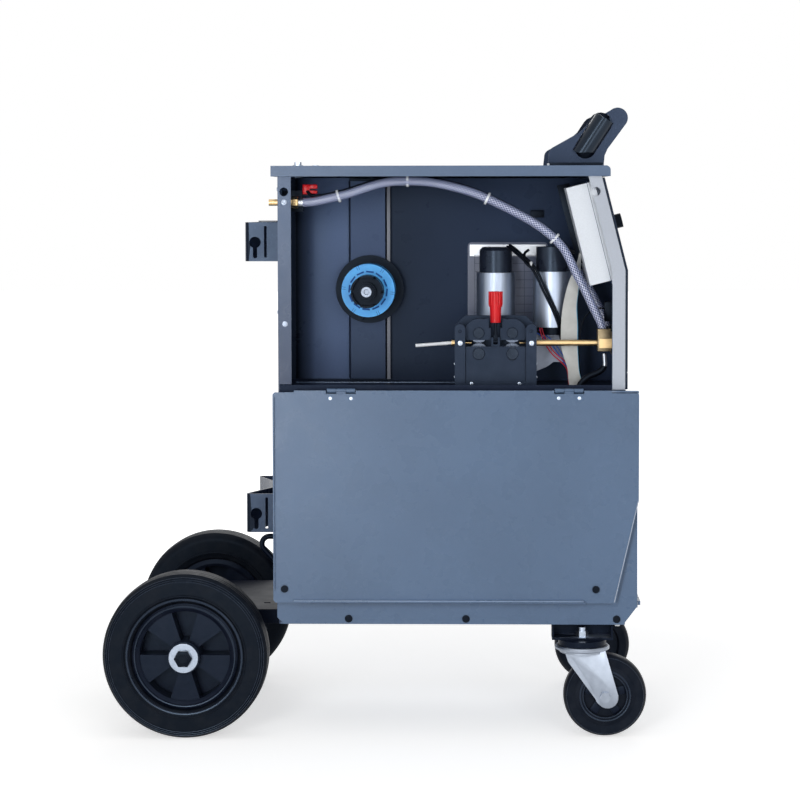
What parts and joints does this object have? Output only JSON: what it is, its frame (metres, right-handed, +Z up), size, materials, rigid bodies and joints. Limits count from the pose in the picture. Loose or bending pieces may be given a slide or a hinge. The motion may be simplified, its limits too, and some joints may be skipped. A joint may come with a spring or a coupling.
{
  "type": "mig welder on cart",
  "caption": "Wheeled wire-feed welding machine with open wire feed compartment, folding side door, gas bottle rack, torch holders and handle.",
  "frame": {"origin": "floor level under the centre of the machine's outer box", "axes": "+X to the machine's front (control panel), +Z up, -Y to the door side"},
  "size_m": [0.819, 0.487, 0.9487],
  "materials": {
    "panel": "powder coat, fine texture",
    "dark_panel": "powder coat",
    "light_frame": "satin",
    "box_metal": "satin",
    "black_paint": "satin",
    "black_plastic": "matte",
    "zinc": "zinc plated",
    "motor_steel": "zinc plated",
    "brass": "machined",
    "blue_plastic": "moulded",
    "red_plastic": "moulded",
    "clear_hose": "braided",
    "ribbon": "satin",
    "cable_rubber": "matte",
    "copper": "enamelled wire",
    "aluminium": "extruded",
    "tyre_rubber": "matte",
    "rim_plastic": "satin"
  },
  "bodies": {
    "root": {"base_tray": "panel", "rear_panel": "panel", "front_lower_panel": "panel", "far_side_panel": "panel", "lower_side_panel": "panel", "divider_wall": "dark_panel", "compartment_floor": "panel", "roof_cover": "panel", "front_frame": "light_frame", "front_fascia": "black_plastic", "control_box": "box_metal", "handle_frame": "black_paint", "torch_holders": "black_paint", "bottle_bracket_upper": "dark_panel", "bottle_bracket_lower": "dark_panel", "bottle_platform": "panel", "cable_loop": "black_paint", "rear_axle": "zinc", "caster_brackets": "black_paint", "gas_inlet_valve": "brass", "gas_hose": "clear_hose", "hub_axle": "zinc", "feed_motor_rear": "motor_steel", "feed_motor_front": "motor_steel", "feeder_body": "black_plastic", "feeder_cover": "black_plastic", "wire_inlet_tube": "brass", "torch_socket": "brass", "ribbon_cable": "ribbon", "power_cable": "cable_rubber", "door_hinges": "black_paint", "cabinet_fasteners": "zinc", "mains_gland": "black_plastic", "transformer": "copper", "welding_choke": "copper", "rectifier_stack": "aluminium", "fan_frame": "black_plastic"},
    "door": {"side_door": "panel"},
    "rear_latch": {"latch_rear": "black_plastic"},
    "front_latch": {"latch_front": "black_plastic"},
    "hub": {"spool_hub": "black_plastic", "hub_drive_ring": "blue_plastic"},
    "lever": {"tension_lever": "red_plastic"},
    "rear_arm": {"pressure_arm_rear": "black_plastic"},
    "front_arm": {"pressure_arm_front": "black_plastic"},
    "rear_pressure_roll": {"pressure_roll_rear": "zinc"},
    "front_pressure_roll": {"pressure_roll_front": "zinc"},
    "rear_feed_roll": {"feed_roll_rear": "zinc"},
    "front_feed_roll": {"feed_roll_front": "zinc"},
    "near_knob": {"knob_near": "black_plastic"},
    "far_knob": {"knob_far": "black_plastic"},
    "fan": {"fan_rotor": "black_plastic"},
    "near_wheel": {"rear_tyre_near": "tyre_rubber", "rear_rim_near": "rim_plastic"},
    "far_wheel": {"rear_tyre_far": "tyre_rubber", "rear_rim_far": "rim_plastic"},
    "near_fork": {"caster_fork_near": "zinc"},
    "far_fork": {"caster_fork_far": "zinc"},
    "near_caster_wheel": {"caster_wheel_near": "tyre_rubber"},
    "far_caster_wheel": {"caster_wheel_far": "tyre_rubber"}
  },
  "joints": [
    {"name": "door_hinge", "type": "hinge", "parent": "root", "child": "door", "pos_m": [0.1, -0.203, 0.523], "axis": [-1, 0, 0], "range_deg": [0, 180]},
    {"name": "rear_latch_turn", "type": "hinge", "parent": "door", "child": "rear_latch", "pos_m": [-0.135, -0.21, 0.225], "axis": [0, 1, 0], "range_deg": [0, 90]},
    {"name": "front_latch_turn", "type": "hinge", "parent": "door", "child": "front_latch", "pos_m": [0.3325, -0.21, 0.225], "axis": [0, 1, 0], "range_deg": [0, 90]},
    {"name": "spool_turn", "type": "hinge", "parent": "root", "child": "hub", "pos_m": [-0.0135, -0.1, 0.669], "axis": [0, 1, 0], "continuous": true},
    {"name": "lever_swing", "type": "hinge", "parent": "root", "child": "lever", "pos_m": [0.1825, -0.1515, 0.594], "axis": [-1, 0, 0], "range_deg": [-70, 0]},
    {"name": "rear_arm_lift", "type": "hinge", "parent": "root", "child": "rear_arm", "pos_m": [0.1285, -0.139, 0.61], "axis": [0, 1, 0], "range_deg": [-70, 0]},
    {"name": "front_arm_lift", "type": "hinge", "parent": "root", "child": "front_arm", "pos_m": [0.2365, -0.139, 0.61], "axis": [0, -1, 0], "range_deg": [-70, 0]},
    {"name": "rear_feed_roll_turn", "type": "hinge", "parent": "root", "child": "rear_feed_roll", "pos_m": [0.157, -0.141, 0.5756], "axis": [0, 1, 0], "continuous": true},
    {"name": "front_feed_roll_turn", "type": "hinge", "parent": "root", "child": "front_feed_roll", "pos_m": [0.208, -0.141, 0.5756], "axis": [0, 1, 0], "continuous": true},
    {"name": "rear_pressure_roll_turn", "type": "hinge", "parent": "rear_arm", "child": "rear_pressure_roll", "pos_m": [0.157, -0.141, 0.6064], "axis": [0, 1, 0], "continuous": true},
    {"name": "front_pressure_roll_turn", "type": "hinge", "parent": "front_arm", "child": "front_pressure_roll", "pos_m": [0.208, -0.141, 0.6064], "axis": [0, 1, 0], "continuous": true},
    {"name": "near_knob_turn", "type": "hinge", "parent": "root", "child": "near_knob", "pos_m": [0.35884, -0.1, 0.7728], "axis": [0.9694, 0, 0.2453], "range_deg": [-150, 150]},
    {"name": "far_knob_turn", "type": "hinge", "parent": "root", "child": "far_knob", "pos_m": [0.35884, 0.1, 0.7728], "axis": [0.9694, 0, 0.2453], "range_deg": [-150, 150]},
    {"name": "fan_turn", "type": "hinge", "parent": "root", "child": "fan", "pos_m": [-0.13, 0.09, 0.299], "axis": [1, 0, 0], "continuous": true},
    {"name": "near_wheel_turn", "type": "hinge", "parent": "root", "child": "near_wheel", "pos_m": [-0.2845, -0.2025, 0.125], "axis": [0, 1, 0], "continuous": true},
    {"name": "far_wheel_turn", "type": "hinge", "parent": "root", "child": "far_wheel", "pos_m": [-0.2845, 0.2025, 0.125], "axis": [0, 1, 0], "continuous": true},
    {"name": "near_caster_swivel", "type": "hinge", "parent": "root", "child": "near_fork", "pos_m": [0.313, -0.19, 0.13], "axis": [0, 0, 1], "continuous": true},
    {"name": "far_caster_swivel", "type": "hinge", "parent": "root", "child": "far_fork", "pos_m": [0.313, 0.19, 0.13], "axis": [0, 0, 1], "continuous": true},
    {"name": "near_caster_turn", "type": "hinge", "parent": "near_fork", "child": "near_caster_wheel", "pos_m": [0.347, -0.19, 0.0625], "axis": [0, 1, 0], "continuous": true},
    {"name": "far_caster_turn", "type": "hinge", "parent": "far_fork", "child": "far_caster_wheel", "pos_m": [0.347, 0.19, 0.0625], "axis": [0, 1, 0], "continuous": true}
  ],
  "couplings": [
    {"joint": "front_feed_roll_turn", "follows": "rear_feed_roll_turn", "ratio": 1},
    {"joint": "rear_pressure_roll_turn", "follows": "rear_feed_roll_turn", "ratio": -1},
    {"joint": "front_pressure_roll_turn", "follows": "rear_feed_roll_turn", "ratio": -1}
  ]
}
